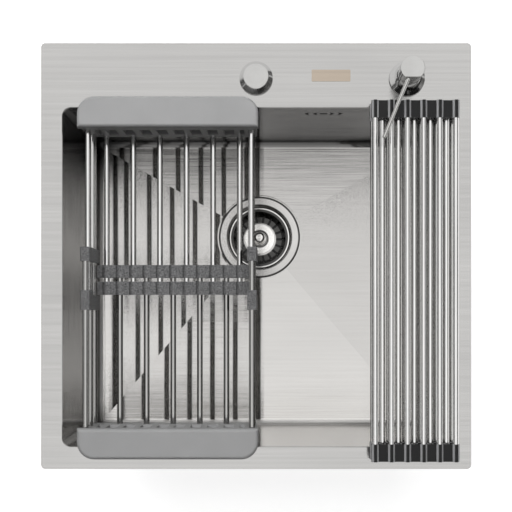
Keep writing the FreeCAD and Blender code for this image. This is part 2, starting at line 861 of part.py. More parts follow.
def waste_body():
    outer = "waste_radius + waste_wall"
    outline = [
        ("waste_radius", "0"),
        ("gasket_outer", "0"),
        ("gasket_outer", "-waste_flange"),
        (outer, "-waste_flange"),
        (outer, "-waste_depth"),
        ("outlet_radius", "-waste_depth - waste_wall"),
        ("outlet_radius", "-waste_depth - waste_wall - outlet_length"),
        ("outlet_bore", "-waste_depth - waste_wall - outlet_length"),
        ("outlet_bore", "-waste_depth + waste_wall"),
        ("waste_radius", "-waste_depth + waste_wall"),
    ]
    shell = turn(turned("waste_shell", outline), 45)
    port = turn(doc.addObject("Part::Cylinder", "waste_port"), 90, FreeCAD.Vector(0, 1, 0))
    bind(port, Radius="spigot_radius", Height="port_length + waste_wall")
    place(port, "waste_radius", "0", "-port_drop")
    port_bore = turn(doc.addObject("Part::Cylinder", "waste_port_bore"), 90, FreeCAD.Vector(0, 1, 0))
    bind(port_bore, Radius="spigot_radius - waste_wall / 2", Height="port_length + 2 * waste_wall + overrun")
    place(port_bore, "waste_radius - waste_wall", "0", "-port_drop")
    z = ("-waste_depth", "-waste_depth + waste_wall")
    reach = "outlet_bore + waste_wall / 2"
    arm = ("-spider_width / 2", "spider_width / 2")
    arms = [
        block("waste_spider_x", (f"-({reach})", reach), arm, z),
        block("waste_spider_y", arm, (f"-({reach})", reach), z),
        drum("waste_boss", "boss_radius", *z),
    ]
    hole = drum("waste_bolt_hole", "bolt_radius + fit_gap", f"{z[0]} - overrun", f"{z[1]} + overrun")
    solid = joined("waste_solid", [shell, port, *arms])
    moulded = cut("waste_moulding", solid, joined("waste_bores", [port_bore, hole]))
    turn(moulded, 1)
    bind(moulded, **{"Placement.Rotation.Angle": "atan2(spigot_y - drain_y; overflow_x)"})
    at_drain(moulded, "waste_body", "gasket_level")


def waste_bolt():
    shaft = drum("bolt_shaft", "bolt_radius", "waste_floor - nut_height", "cup_floor")
    head = drum("bolt_cap", "bolt_head", "cup_floor", "cup_floor + bolt_head_height")
    at_drain(joined("bolt_solid", [shaft, head]), "waste_bolt", "0")
    low = "waste_floor"
    nut = doc.addObject("Part::Prism", "nut_prism")
    place(bind(nut, Circumradius="nut_radius", Height="nut_height"), z=f"{low} - nut_height")
    thread = drum("nut_thread", "bolt_radius + fit_gap", f"{low} - nut_height - overrun", f"{low} + overrun")
    at_drain(cut("nut_solid", nut, thread), "waste_bolt_nut", "0")


# Lift-out basket, drawn from the top of the strainer's flange

def basket():
    """Pressed cup with a flat rim, cut by a ring of slots."""
    rim = "-slope_depth + rest_gap"
    floor = "-basket_floor"
    wall_top = "basket_radius - basket_rim"
    wall_foot = f"{wall_top} - basket_taper"
    outline = [
        ("rod_radius + fit_gap", floor),
        (wall_foot, floor),
        (wall_top, rim),
        ("basket_radius", rim),
        ("basket_radius", f"{rim} + basket_sheet"),
        (f"{wall_top} - basket_sheet", f"{rim} + basket_sheet"),
        (f"{wall_foot} - basket_sheet", f"{floor} + basket_sheet"),
        ("rod_radius + fit_gap", f"{floor} + basket_sheet"),
    ]
    body = turned("basket_pressing", outline)
    drawing = sketch_on(body, "XY_Plane")
    y = ("-slot_width / 2", "slot_width / 2")
    polygon(drawing, rectangle(("slot_start", f"{wall_top} - 2 * basket_sheet"), y))
    slot = pocket(body, drawing)
    ring = body.newObject("PartDesign::PolarPattern", "basket_slot_ring")
    ring.Originals = [slot]
    ring.Axis = (drawing, ["N_Axis"])
    ring.Angle = 360
    ring.Occurrences = int(sheet.get("basket_slots"))
    body.Tip = ring
    at_drain(body, "basket")


def basket_fittings():
    """The dished cap, the knob on its rod and the rubber ring that seals the cup's mouth."""
    low = "-basket_floor + basket_sheet"
    top = f"{low} + cap_rise"
    rod = "rod_radius + fit_gap"
    cap = turned("basket_cap_pressing", [
        ("cap_radius - cap_sheet", low),
        ("cap_radius", low),
        ("cap_radius", top),
        ("cap_bore", top),
        ("cap_bore - cap_sheet", f"{top} - cap_dish"),
        (rod, f"{top} - cap_dish"),
        (rod, f"{top} - cap_dish - cap_sheet"),
        ("cap_bore", f"{top} - cap_dish - cap_sheet"),
        ("cap_bore + cap_sheet", f"{top} - cap_sheet"),
        ("cap_radius - cap_sheet", f"{top} - cap_sheet"),
    ], rounds=((2, "cap_sheet / 2"), (3, "cap_sheet / 2")))
    at_drain(cap, "basket_cap")
    knob_top = "-knob_drop"
    knob_low = f"{knob_top} - knob_height"
    knob = turned("basket_knob_turning", [
        ("0", "-basket_floor - rest_gap"),
        ("rod_radius", "-basket_floor - rest_gap"),
        ("rod_radius", knob_low),
        ("knob_radius", knob_low),
        ("knob_radius", f"{knob_top} - knob_radius / 2"),
        ("knob_radius", knob_top),
        ("0", knob_top),
    ], rounds=((5, "knob_radius / 2"),))
    at_drain(knob, "basket_knob")
    stopper_z = ("-cup_depth + rest_gap", "-basket_floor")
    at_drain(flat_ring("stopper_ring", "stopper_inner", "stopper_outer", *stopper_z), "basket_stopper")


# Tap-hole cover, drawn from the deck's top face

def at_tap_hole(part, label):
    node(place(part, "0", "tap_y", "deck_thick"), label)


def tap_hole_cover():
    low = "rubber_thick"
    top = f"{low} + cover_height"
    cover = turned("cover_turning", [
        ("0", low),
        ("cover_radius", low),
        ("cover_radius", f"{low} + cover_rim"),
        ("cover_top", top),
        ("0", top),
    ], rounds=((3, "cover_round"),))
    socket = drum("cover_socket", "stud_radius + fit_gap", f"{low} - overrun", f"{low} + cover_height / 2")
    at_tap_hole(cut("cover_solid", cover, socket), "tap_hole_cover")
    ring = flat_ring("cover_ring", "tap_hole - 2 * cover_rim", "cover_radius - near", "0", "rubber_thick")
    at_tap_hole(ring, "cover_gasket")
    stud_top = f"deck_thick + {low} + cover_height / 2 - fit_gap"
    stud = drum("cover_stud_rod", "stud_radius", "deck_thick - stud_length", stud_top, "0", "tap_y")
    node(stud, "cover_stud")
    under = "-deck_thick"
    bridge_foot = f"{under} - bridge_thick"
    thread = "stud_radius + fit_gap"
    at_tap_hole(flat_ring("bridge_disc", thread, "bridge_radius", bridge_foot, under), "cover_bridge")
    hub = drum("wing_hub_drum", "wing_hub", f"{bridge_foot} - wing_height", bridge_foot)
    wings = block("wing_plate", ("-wing_reach", "wing_reach"), ("-wing_thick / 2", "wing_thick / 2"),
                  (f"{bridge_foot} - 2 * wing_height", f"{bridge_foot} - wing_height / 2"))
    hub_foot = f"{bridge_foot} - wing_height"
    gap = drum("wing_gap", "wing_hub", f"{hub_foot} - wing_height - overrun", hub_foot)
    bore = drum("wing_bore", thread, f"{hub_foot} - overrun", f"{bridge_foot} + overrun")
    nut = cut("wing_solid", joined("wing_joined", [hub, wings]), joined("wing_cutters", [gap, bore]))
    at_tap_hole(nut, "cover_wing_nut")


# Soap dispenser, drawn from the deck's top face

def at_dispenser(part, label):
    node(place(part, "soap_x", "soap_y", "deck_thick"), label)


def dispenser_base():
    bore = "shank_radius + fit_gap"
    inner = "collar_radius - shank_wall"
    seat = "shank_top + pump_flange"
    outline = [
        (bore, "rubber_thick"),
        ("soap_base", "rubber_thick"),
        ("soap_base", "rubber_thick + soap_foot"),
        ("bell_waist", "rubber_thick + bell_waist_rise"),
        ("bell_neck", "shoulder"),
        ("collar_radius", "shoulder"),
        ("collar_radius", "collar_top"),
        (inner, "collar_top"),
        (inner, seat),
        (bore, seat),
    ]
    at_dispenser(turned("base_turning", outline, rounds=((3, "bell_round"),)), "dispenser_base")


def dispenser_shank():
    rubber_bore = "soap_hole"
    washer = flat_ring("soap_washer", rubber_bore, "soap_base - rubber_thick", "0", "rubber_thick")
    at_dispenser(washer, "dispenser_washer")
    inner = "shank_radius - shank_wall"
    at_dispenser(flat_ring("shank_tube", inner, "shank_radius", "shank_foot", "shank_top"), "dispenser_shank")
    nut = doc.addObject("Part::Prism", "soap_nut_prism")
    bind(nut, Circumradius="soap_nut_radius", Height="soap_nut_height")
    nut_foot = "-deck_thick - soap_nut_height"
    place(nut, z=nut_foot)
    bore = "shank_radius + fit_gap"
    thread = drum("soap_nut_thread", bore, f"{nut_foot} - overrun", "-deck_thick + overrun")
    at_dispenser(cut("soap_nut_solid", nut, thread), "dispenser_nut")


def dispenser_bottle():
    neck = "shank_radius + fit_gap"
    neck_foot = "bottle_top - bottle_neck"
    shoulder_foot = "bottle_top - bottle_neck - bottle_shoulder"
    outline = [
        (neck, "bottle_top"),
        (f"{neck} + bottle_wall", "bottle_top"),
        (f"{neck} + bottle_wall", neck_foot),
        ("bottle_radius", shoulder_foot),
        ("bottle_radius", "bottle_foot"),
        ("0", "bottle_foot"),
        ("0", "bottle_foot + bottle_wall"),
        ("bottle_radius - bottle_wall", "bottle_foot + bottle_wall"),
        ("bottle_radius - bottle_wall", f"{shoulder_foot} - bottle_wall / 2"),
        (neck, f"{neck_foot} - bottle_wall / 2"),
    ]
    at_dispenser(turned("bottle_moulding", outline, rounds=((4, "bottle_wall * 2"),)), "dispenser_bottle")


def pump():
    inside = "pump_radius - pump_wall"
    barb_foot = "pump_foot - pump_seat - barb_length"
    cylinder = turned("pump_moulding", [
        (inside, "shank_top + pump_flange"),
        ("shank_radius - fit_gap", "shank_top + pump_flange"),
        ("shank_radius - fit_gap", "shank_top"),
        ("pump_radius", "shank_top"),
        ("pump_radius", "pump_foot - pump_seat"),
        ("barb_radius", "pump_foot - pump_seat"),
        ("barb_radius", barb_foot),
        ("valve_hole", barb_foot),
        ("valve_hole", "pump_foot"),
        (inside, "pump_foot"),
    ])
    at_dispenser(cylinder, "pump_cylinder")
    ball = doc.addObject("Part::Sphere", "valve_sphere")
    bind(ball, Radius="valve_ball")
    ball_level = "deck_thick + pump_foot + sqrt(valve_ball ^ 2 - valve_hole ^ 2) + fit_gap"
    node(place(ball, "soap_x", "soap_y", ball_level), "pump_check_ball")
    dip_z = ("bottle_foot + bottle_wall + dip_foot_gap", "pump_foot - pump_seat - fit_gap")
    dip = flat_ring("dip_moulding", "barb_radius + fit_gap", "barb_radius + dip_wall", *dip_z)
    at_dispenser(dip, "dip_tube")
    guide_outer = "collar_radius - shank_wall - fit_gap"
    guide_z = ("collar_top - collar_height", "collar_top")
    guide = flat_ring("guide_bush", "rod_radius + rest_gap", guide_outer, *guide_z)
    at_dispenser(guide, "pump_guide")
    piston = turned("piston_turning", [
        ("stem_bore", "-piston_level"),
        (f"{inside} - rest_gap", "-piston_level"),
        (f"{inside} - rest_gap", "-piston_level + piston_height"),
        ("rod_radius", "-piston_level + piston_height"),
        ("rod_radius", "ceiling_level + rod_grip"),
        ("stem_bore", "ceiling_level + rod_grip"),
    ])
    at_dispenser(piston, "pump_piston")


def biarc(start, start_way, end, end_way):
    """Two arcs that leave and arrive along given directions and meet smoothly."""
    chord = end - start
    total = start_way + end_way
    spread = 2 * (1 - start_way.dot(end_way))
    along = chord.dot(total)
    arm = (math.sqrt(along ** 2 + spread * chord.dot(chord)) - along) / spread
    first = start + start_way * arm
    second = end - end_way * arm
    middle = (first + second) / 2
    edges = []
    for low, corner, high in ((start, first, middle), (middle, second, end)):
        half = (high - low) / 2
        base = low + half
        rise = corner - base
        swell = half.Length * math.tan(math.atan2(rise.Length, half.Length) / 2)
        edges.append(Part.Arc(low, base + rise.normalize() * swell, high).toShape())
    return edges


def pump_spring():
    """A helix of round wire between the pump's seat and the piston."""
    low = number("pump_foot + spring_wire + fit_gap")
    high = number("-piston_level - spring_wire - fit_gap")
    radius = number("spring_radius")
    quarters = 4 * int(sheet.get("spring_turns"))
    climb = (high - low) / (quarters * math.pi / 2)

    def on_helix(angle):
        point = FreeCAD.Vector(radius * math.cos(angle), radius * math.sin(angle), low + climb * angle)
        way = FreeCAD.Vector(-radius * math.sin(angle), radius * math.cos(angle), climb)
        return point, way.normalize()

    edges = []
    for step in range(quarters):
        edges += biarc(*on_helix(step * math.pi / 2), *on_helix((step + 1) * math.pi / 2))
    start, way = on_helix(0)
    section = Part.Wire(Part.Circle(start, way, number("spring_wire")).toShape())
    spring = doc.addObject("Part::Feature", "spring_coil")
    spring.Shape = Part.Wire(edges).makePipeShell([section], True, False)
    at_dispenser(spring, "pump_spring")


def dispenser_head():
    """A hollow cap with a slanted facet at the front; the rod and the spout are held in its thick top."""
    cap = turned("head_turning", [
        ("0", "ceiling_level"),
        ("head_radius - head_wall", "ceiling_level"),
        ("head_radius - head_wall", "skirt_level"),
        ("head_radius", "skirt_level"),
        ("head_radius", "head_top"),
        ("0", "head_top"),
    ], rounds=((4, "head_round"),))
    run = "(head_radius - facet_reach)"
    slope = f"sqrt({run} ^ 2 + facet_drop ^ 2)"
    facet = doc.addObject("Part::Box", "head_facet")
    bind(facet, Length="2 * head_radius", Width=f"2 * {slope}", Height="head_radius")
    facet.Placement.Rotation = FreeCAD.Rotation(across, 1)
    bind(facet, **{"Placement.Rotation.Angle": f"atan2(facet_drop; {run})"})
    place(facet, "-head_radius", f"-facet_reach - 2 * {run}", "head_top - 2 * facet_drop")
    socket_z = ("ceiling_level - overrun", "ceiling_level + rod_grip + rest_gap")
    socket = drum("head_socket", "rod_radius + rest_gap", *socket_z)
    channel = spout_drum("head_channel", "spout_radius + fit_gap", "0", "head_radius + overrun")
    at_dispenser(cut("head_solid", cap, joined("head_cutters", [facet, socket, channel])), "dispenser_head")


def spout_drum(name, radius, start, end):
    """A cylinder along the spout, which points forwards and to the left."""
    part = doc.addObject("Part::Cylinder", name)
    bind(part, Radius=radius, Height=f"{end} - ({start})")
    part.Placement.Rotation = FreeCAD.Rotation(up, -number("spout_aim")) * FreeCAD.Rotation(across, 90)
    return place(part, f"-({start}) * sin(spout_aim)", f"-({start}) * cos(spout_aim)", "spout_level")


def dispenser_spout():
    outer = spout_drum("spout_outer", "spout_radius", "spout_root", "spout_reach")
    bore = spout_drum("spout_inner", "spout_bore", "spout_root - overrun", "spout_reach + overrun")
    at_dispenser(cut("spout_tube", outer, bore), "dispenser_spout")


# Telescopic colander: the rear half carries the rear end, its tubes, the lower comb and the lower clips

def rail_places(half):
    return [
        (f"colander_x + {side} * {half}_rail_offset", f"deck_thick - {half}_rail_{row}")
        for side in (-1, 1) for row in ("top", "mid", "low")
    ]


def rod_places(count):
    level = "deck_thick - rod_drop"
    return [(f"colander_x + ({step} - {(count - 1) / 2}) * rod_pitch", level) for step in range(count)]


rear_rods, front_rods = 6, 5
front_start = "-front_wall_face - socket_depth"
halves = {
    "rear": {
        "rods": rod_places(rear_rods),
        "rails": rail_places("rear"),
        "rods_span": ("-rear_comb_front + socket_floor", "rear_wall_face + socket_depth"),
        "rails_span": ("-rear_clip_front + socket_floor", "rear_wall_face + socket_depth"),
    },
    "front": {
        "rods": rod_places(front_rods),
        "rails": rail_places("front"),
        "rods_span": (front_start, "-front_comb_front + front_comb_depth - socket_floor"),
        "rails_span": (front_start, "-front_clip_front + front_clip_depth - socket_floor"),
    },
}


def tubes(label, places, span, bore="tube_bore"):
    copies = []
    for index, (x, z) in enumerate(places):
        outer = lying_drum(f"{label}_{index}_outer", "tube_radius", *span, x, z)
        reach = (f"{span[0]} - overrun", f"{span[1]} + overrun")
        inner = lying_drum(f"{label}_{index}_bore", bore, *reach, x, z)
        copies.append(cut(f"{label}_{index}", outer, inner))
    node(group(f"{label}_group", copies), label)


def bored(name, solid, half, kinds, reach=None):
    """Sockets for the half's own tubes, and clear holes where the other half's tubes slide through."""
    own = halves[half]
    other = halves["front" if half == "rear" else "rear"]
    tight = "tube_radius + fit_gap"
    loose = "tube_radius + slide_gap"
    tools = []
    for kind in kinds:
        span = own[f"{kind}_span"]
        for index, (x, z) in enumerate(own[kind]):
            tools.append(lying_drum(f"{name}_{kind}_{index}", tight, *span, x, z))
        for index, (x, z) in enumerate(other[kind] if reach else ()):
            tools.append(lying_drum(f"{name}_passing_{kind}_{index}", loose, *reach, x, z))
    return cut(name, solid, joined(f"{name}_cutters", tools))


def colander_end(half):
    """A hollow grip that rests on the deck, rounded at its outside, with a slotted wall hanging from it."""
    depth = f"({half}_grip_outer - {half}_grip_inner)"
    top = "rest_gap + grip_height"

    def shell(name, inset, low, high, corner, edge):
        body = new_body(name)
        side = f"grip_half_width - ({inset})"
        drawing = sketch_on(body, "XY_Plane", low)
        polygon(drawing, rectangle((f"-({side})", side), (inset, f"{depth} - ({inset})")))
        raised = pad(body, drawing, f"{high} - ({low})")
        outside = number(f"{depth} / 2")

        def outer_corner(item):
            return upright(item) and item.Vertexes[0].Y > outside
        cornered = round_edges(body, raised, outer_corner, corner)
        round_edges(body, cornered, at_level(number(high)), edge)
        return body

    outer = shell(f"{half}_grip_outside", "0", "rest_gap", top, "grip_corner", "grip_round")
    roof = f"{top} - grip_wall"
    inner_rounds = ("grip_corner - grip_wall", "grip_round - grip_wall")
    inner = shell(f"{half}_grip_inside", "grip_wall", "rest_gap - overrun", roof, *inner_rounds)
    grip = cut(f"{half}_grip", outer, inner)
    wall = new_body(f"{half}_end_wall")
    drawing = sketch_on(wall, "XZ_Plane", "-end_wall_inset - end_wall_thick")
    foot = f"-{half}_wall_drop"
    side = "grip_half_width - grip_wall"
    polygon(drawing, rectangle((f"-({side})", side), (foot, roof)))
    raised = pad(wall, drawing, "end_wall_thick")
    low_edge = at_level(number(foot))

    def foot_corner(item):
        return abs(item.tangentAt(item.FirstParameter).y) > math.cos(1) and low_edge(item)
    corners = round_edges(wall, raised, foot_corner, "end_wall_corner")
    vents = sketch_on(wall, "XZ_Plane", "0")
    z = ("-vent_top - vent_height", "-vent_top")
    for side in (-1, 1):
        for step in range(4):
            middle = f"{side} * ({step} + 1 / 2) * vent_pitch"
            polygon(vents, rectangle((f"{middle} - vent_width / 2", f"{middle} + vent_width / 2"), z))
        middle = f"{side} * end_vent_offset"
        polygon(vents, rectangle((f"{middle} - end_vent_width / 2", f"{middle} + end_vent_width / 2"), z))
    pocket(wall, vents)
    corners.Visibility = False
    whole = joined(f"{half}_end_solid", [grip, wall])
    if half == "rear":
        place(whole, "colander_x", "rear_grip_inner", "deck_thick")
    else:
        place(turn(whole, 180), "colander_x", "-front_grip_inner", "deck_thick")
    node(bored(f"colander_{half}_end_bored", whole, half, ("rods", "rails")), f"colander_{half}_end")


def colander_comb(half):
    """The cross bar that ties one half's rods and guides the other's, with a round bump over every rod."""
    y = (f"-{half}_comb_front", f"-{half}_comb_front + {half}_comb_depth")
    middle = "deck_thick - rod_drop"
    side = "comb_half_width"
    bar = block(f"{half}_comb_bar", (f"colander_x - {side}", f"colander_x + {side}"), y,
                (f"{middle} - comb_body", f"{middle} + comb_body"))
    bumps = [
        lying_drum(f"{half}_comb_bump_{index}", "comb_bump", *y, x, z)
        for index, (x, z) in enumerate(halves["rear"]["rods"] + halves["front"]["rods"])
    ]
    reach = (f"{y[0]} - overrun", f"{y[1]} + overrun")
    whole = joined(f"{half}_comb_solid", [bar, *bumps])
    node(bored(f"{half}_comb_bored", whole, half, ("rods",), reach), f"colander_{half}_comb")


def colander_clips(half):
    """The side plates that hold one half's rail ends and slide along the other half's rails."""
    y = (f"-{half}_clip_front", f"-{half}_clip_front + {half}_clip_depth")
    hood_rear = f"{y[1]} + rear_clip_lip" if half == "rear" else y[1]
    reach = (f"{y[0]} - overrun", f"{hood_rear} + overrun")
    copies = []
    for side, name in ((-1, "left"), (1, "right")):
        body = new_body(f"{half}_clip_{name}")
        inner = f"{side} * comb_half_width"
        outer = f"{side} * clip_outer"
        x = (outer, inner) if side < 0 else (inner, outer)
        drawing = sketch_on(body, "YZ_Plane", x[0])
        polygon(drawing, [
            (y[0], "clip_rise"),
            (y[0], "-clip_drop"),
            (y[1], "-clip_drop"),
            (y[1], "-clip_hood"),
            (hood_rear, "-clip_hood + clip_corner"),
            (hood_rear, "clip_rise"),
        ])
        raised = pad(body, drawing, "clip_thick")
        near_outside = number(outer)
        top = number("clip_rise")

        def outer_top(item):
            ends = [(point.Z - top, point.X - near_outside) for point in item.Vertexes]
            return all(abs(miss) < number("near") for pair in ends for miss in pair)
        last = round_edges(body, raised, outer_top, "clip_corner")
        groove = sketch_on(body, "XY_Plane", "clip_rise - clip_groove_depth")
        spot = f"{y[0]} + clip_groove_place"
        across_clip = (f"{x[0]} - overrun", f"{x[1]} + overrun")
        polygon(groove, rectangle(across_clip, (spot, f"{spot} + clip_groove")))
        slot = body.newObject("PartDesign::Pocket", f"{body.Name}_groove")
        slot.Profile = groove
        slot.Reversed = True
        bind(slot, Length="clip_groove_depth + overrun")
        last.Visibility = False
        place(body, "colander_x", "0", "deck_thick")
        copies.append(bored(f"{half}_clip_{name}_bored", body, half, ("rails",), reach))
    node(group(f"colander_{half}_clips", copies), f"colander_{half}_clips")


def colander():
    for half in ("rear", "front"):
        colander_end(half)
        tubes(f"colander_{half}_rods", halves[half]["rods"], halves[half]["rods_span"])
        tubes(f"colander_{half}_rails", halves[half]["rails"], halves[half]["rails_span"])
        colander_comb(half)
        colander_clips(half)


# Rolled drainer mat: three layers of tubes whose ends sit in two flexible rubber strips

long_row, short_row = 6, 5


def mat_places():
    rows = ((long_row, "0"), (short_row, "1 / 2"), (long_row, "0"))
    return [
        (f"mat_left + ({step} + {shift}) * mat_pitch", f"mat_low_row + {layer} * mat_row")
        for layer, (count, shift) in enumerate(rows) for step in range(count)
    ]


def mat_strip(label, front, rear):
    last = f"mat_left + {long_row - 1} * mat_pitch"
    rings = [
        lying_drum(f"{label}_ring_{index}", "mat_ring", front, rear, x, z)
        for index, (x, z) in enumerate(mat_places())
    ]
    half = "mat_web / 2"
    webs = [
        block(f"{label}_web_{layer}", (left, last), (front, rear),
              (f"mat_low_row + {layer} * mat_row - {half}", f"mat_low_row + {layer} * mat_row + {half}"))
        for layer, left in enumerate(("mat_left", "mat_left + mat_pitch / 2", "mat_left"))
    ]
    links = [
        block(f"{label}_link_left", (f"mat_left - {half}", f"mat_left + {half}"), (front, rear),
              ("mat_low_row", "mat_low_row + 2 * mat_row")),
        block(f"{label}_link_right", (f"{last} - {half}", f"{last} + {half}"), (front, rear),
              ("mat_low_row", f"mat_low_row + mat_row + {half}")),
    ]
    span = ("-mat_front_end + socket_floor", "mat_rear_end - socket_floor")
    sockets = [
        lying_drum(f"{label}_socket_{index}", "tube_radius + fit_gap", *span, x, z)
        for index, (x, z) in enumerate(mat_places())
    ]
    whole = joined(f"{label}_solid", rings + webs + links)
    node(cut(f"{label}_strip", whole, joined(f"{label}_sockets", sockets)), label)


def mat():
    tubes("mat_tubes", mat_places(), ("-mat_front_end + socket_floor", "mat_rear_end - socket_floor"))
    mat_strip("mat_front_strip", "-mat_front_end", "-mat_front_end + mat_strip")
    mat_strip("mat_rear_strip", "mat_rear_end - mat_strip", "mat_rear_end")


# Build every sub-part

deck_plate()
bowl_outside = bowl_form("bowl_outside", "bowl_sheet", "0")
bowl(bowl_outside, bowl_form("bowl_inside", "0", "overrun"))
badge_plate()
edge_tape()
sound_dampers(bowl_outside)
clamps()
overflow_housing()
overflow_pipe()
pipe_bands()
strainer_cup()
waste_seals()
waste_body()
waste_bolt()
basket()
basket_fittings()
tap_hole_cover()
dispenser_base()
dispenser_shank()
dispenser_bottle()
pump()
pump_spring()
dispenser_head()
dispenser_spout()
colander()
mat()
sheet.clear(scratch_cell)
doc.recompute()

# Check every object and every sub-part before anything is written

least_cut = number("near") ** 3
for item in doc.Objects:
    if "Invalid" in item.State or "Error" in item.State:
        raise RuntimeError(f"{item.Name} failed: {item.State}")
    is_pocket = item.TypeId == "PartDesign::Pocket"
    if is_pocket and item.BaseFeature.Shape.Volume - item.Shape.Volume < least_cut:
        raise RuntimeError(f"{item.Name} cuts nothing")

for item in nodes:
    if item.Shape.isNull() or not item.Shape.isValid() or not item.Shape.Solids:
        raise RuntimeError(f"{item.Label} has no valid solid")

os.makedirs("parts", exist_ok=True)
for item in nodes:
    item.Shape.exportStep(f"parts/{item.Label}.step")
    box = item.Shape.BoundBox
    spans = " x ".join(f"{span:.1f}" for span in (box.XLength, box.YLength, box.ZLength))
    print(f"{item.Label}: {len(item.Shape.Solids)} solids, {spans}")
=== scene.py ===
import bpy
import math
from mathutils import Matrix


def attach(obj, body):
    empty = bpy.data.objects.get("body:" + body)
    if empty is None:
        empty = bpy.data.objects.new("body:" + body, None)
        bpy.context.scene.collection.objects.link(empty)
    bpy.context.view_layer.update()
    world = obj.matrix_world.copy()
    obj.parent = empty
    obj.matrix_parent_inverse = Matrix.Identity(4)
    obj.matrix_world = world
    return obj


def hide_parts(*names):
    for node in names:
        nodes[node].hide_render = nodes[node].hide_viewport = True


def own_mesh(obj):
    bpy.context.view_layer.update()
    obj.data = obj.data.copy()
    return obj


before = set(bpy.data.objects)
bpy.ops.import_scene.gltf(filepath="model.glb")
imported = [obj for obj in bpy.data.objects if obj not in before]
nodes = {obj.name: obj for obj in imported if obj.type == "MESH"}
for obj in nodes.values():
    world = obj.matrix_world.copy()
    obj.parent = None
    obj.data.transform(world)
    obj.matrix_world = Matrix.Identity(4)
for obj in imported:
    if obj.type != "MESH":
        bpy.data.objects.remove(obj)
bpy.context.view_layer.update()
bpy.ops.object.select_all(action="DESELECT")
print("sink loaded")


# one value inside a material, so that shader maths reads as sums
class Flow:
    def __init__(self, graph, socket):
        self.graph = graph
        self.socket = socket

    def maths(self, operation, *others):
        return self.graph.add("ShaderNodeMath", {"operation": operation}, dict(enumerate((self, *others))))

    def __add__(self, other):
        return self.maths("ADD", other)

    def __sub__(self, other):
        return self.maths("SUBTRACT", other)

    def __mul__(self, other):
        return self.maths("MULTIPLY", other)

    def __truediv__(self, other):
        return self.maths("DIVIDE", other)

    def __pow__(self, other):
        return self.maths("POWER", other)

    def __abs__(self):
        return self.maths("ABSOLUTE")

    __radd__ = __add__
    __rmul__ = __mul__

    def __rsub__(self, other):
        return self * -1 + other

    def above(self, limit):
        return self.maths("GREATER_THAN", limit)

    def below(self, limit):
        return self.maths("LESS_THAN", limit)

    def atLeast(self, limit):
        return self.maths("MAXIMUM", limit)

    def atMost(self, limit):
        return self.maths("MINIMUM", limit)

    # 0 below low, 1 above high, and smooth from one to the other
    def between(self, low, high):
        ends = {"Value": self, "From Min": low, "From Max": high}
        return self.graph.add("ShaderNodeMapRange", {"interpolation_type": "SMOOTHSTEP"}, ends)


# the node tree of a material or of the world
class Finish:
    def __init__(self, name, world=None):
        self.material = world or bpy.data.materials.new(name)
        self.material.use_nodes = True
        self.tree = self.material.node_tree
        self.tree.nodes.clear()

    def add(self, kind, settings=None, inputs=None, output=0):
        node = self.tree.nodes.new(kind)
        for key, value in (settings or {}).items():
            if key == "stops":
                self.setStops(node.color_ramp, value)
            else:
                setattr(node, key, value)
        for key, value in (inputs or {}).items():
            socket = node.inputs[key]
            if isinstance(value, Flow):
                self.tree.links.new(value.socket, socket)
            elif socket.type == "RGBA":
                socket.default_value = (*value, 1)
            else:
                socket.default_value = value
        return Flow(self, node.outputs[output]) if len(node.outputs) else None

    def setStops(self, ramp, stops):
        while len(ramp.elements) < len(stops):
            ramp.elements.new(0.5)  # its place is set below
        for element, (place, tone) in zip(ramp.elements, stops):
            element.position = place
            element.color = (*tone, 1) if hasattr(tone, "__len__") else (tone, tone, tone, 1)

    def outputs(self, kind, names, inputs=None):
        node = self.add(kind, inputs=inputs).socket.node
        return [Flow(self, node.outputs[name]) for name in names]

    def here(self):
        return self.add("ShaderNodeTexCoord", output="Object")

    def facing(self):
        return self.add("ShaderNodeTexCoord", output="Normal")

    def split(self, vector):
        return self.outputs("ShaderNodeSeparateXYZ", "XYZ", {0: vector})

    def join(self, x, y, z):
        return self.add("ShaderNodeCombineXYZ", inputs={0: x, 1: y, 2: z})

    def stretched(self, x, y, z):
        return self.add("ShaderNodeMapping", inputs={"Vector": self.here(), "Scale": (x, y, z)})

    def noise(self, vector, scale=1.0, detail=2.0, rough=0.5):
        inputs = {"Vector": vector, "Scale": scale, "Detail": detail, "Roughness": rough}
        return self.add("ShaderNodeTexNoise", inputs=inputs)

    def ramp(self, value, stops):
        return self.add("ShaderNodeValToRGB", {"stops": stops}, {"Fac": value})

    def tinted(self, tone, level):
        return self.add("ShaderNodeVectorMath", {"operation": "SCALE"}, {0: tone, "Scale": level})

    def bump(self, height, strength, depth):
        return self.add("ShaderNodeBump", inputs={"Height": height, "Strength": strength, "Distance": depth})

    # the way the surface faces, tipped by a small slope, as fine brush lines tip it
    def tipped(self, x, y, z):
        ways = {0: self.facing(), 1: self.join(x, y, z)}
        both = self.add("ShaderNodeVectorMath", {"operation": "ADD"}, ways)
        turn = {"vector_type": "NORMAL", "convert_from": "OBJECT", "convert_to": "WORLD"}
        turned = self.add("ShaderNodeVectorTransform", turn, {0: both})
        return self.add("ShaderNodeVectorMath", {"operation": "NORMALIZE"}, {0: turned})

    def finish(self, **sockets):
        inputs = {key.replace("_", " "): value for key, value in sockets.items()}
        self.surface("ShaderNodeOutputMaterial", self.add("ShaderNodeBsdfPrincipled", inputs=inputs))
        return self.material

    def surface(self, kind, shader):
        self.add(kind, inputs={"Surface": shader})


# sheet brushed along X, and along Y on the side walls, with line and band counts to the metre
brush = {
    "lineAlong": 7.0, "lineAcross": 12000.0, "lineDetail": 2.0, "lineRough": 0.6,
    "bandAlong": 2.5, "bandAcross": 240.0, "bandDetail": 4.0, "bandRough": 0.7, "bandPolish": 0.04,
    "cloudSize": (6.0, 14.0, 9.0), "cloudShade": 0.15,
    "upright": 0.7, "bendStart": 0.15, "bendEnd": 0.97, "bendScatter": 1.2, "bendLift": 3,
    "flareFrom": 0.1, "flare": 50, "sideShade": 0.12, "rearShade": 0.28, "creaseShade": 2.5,
    "hollowShade": 0.97,
}


